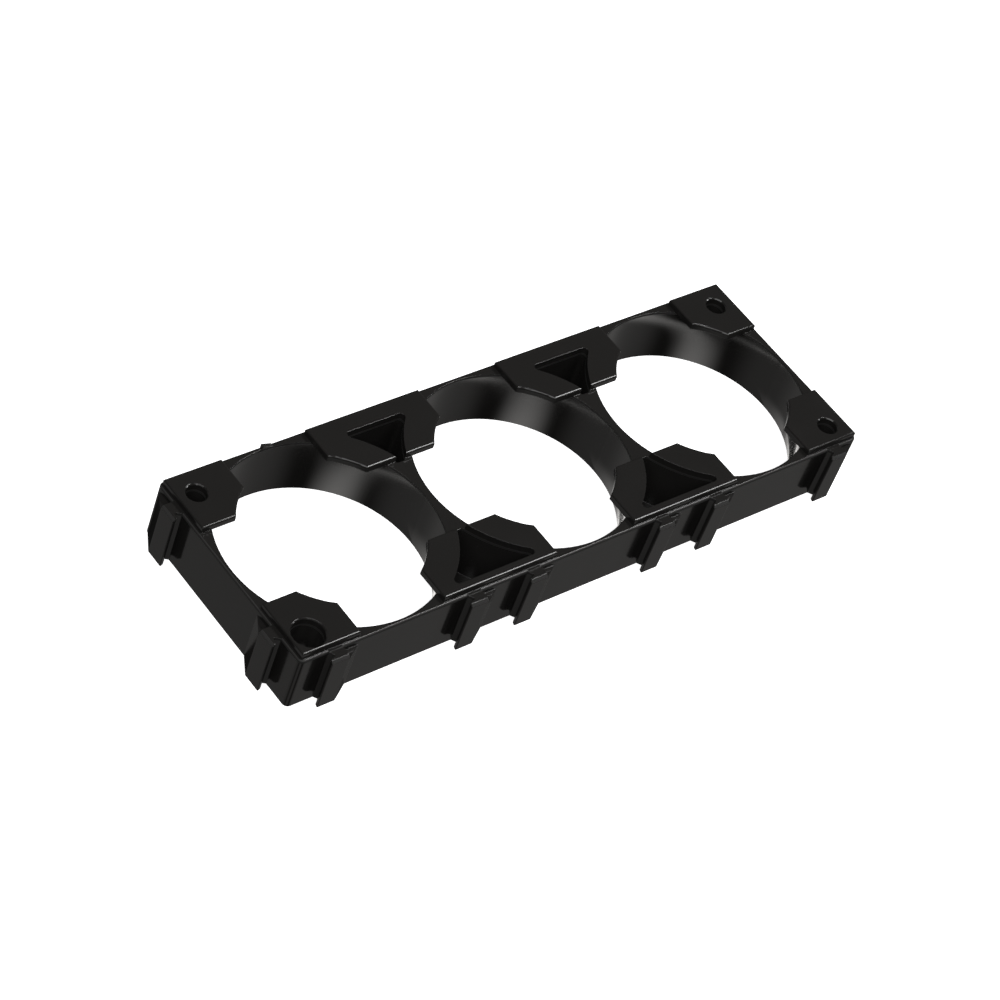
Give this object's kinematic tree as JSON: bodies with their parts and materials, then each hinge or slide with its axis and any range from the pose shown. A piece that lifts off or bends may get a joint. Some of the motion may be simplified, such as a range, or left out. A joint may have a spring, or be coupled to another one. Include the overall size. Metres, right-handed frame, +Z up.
{
  "type": "battery cell holder bracket",
  "caption": "One-piece moulded row holder for round battery cells, with stop tabs over the bores and hooked rails along two sides.",
  "frame": {"origin": "on the axis of the middle cell bore, at the underside", "axes": "+X along the row of cells, +Z up out of the stop tabs, so the hooked long wall faces -Y and the hooked end wall faces -X"},
  "size_m": [0.1025, 0.0353, 0.0102],
  "materials": {
    "black_abs": "satin"
  },
  "bodies": {
    "root": {"cell_bracket": "black_abs"}
  },
  "joints": []
}
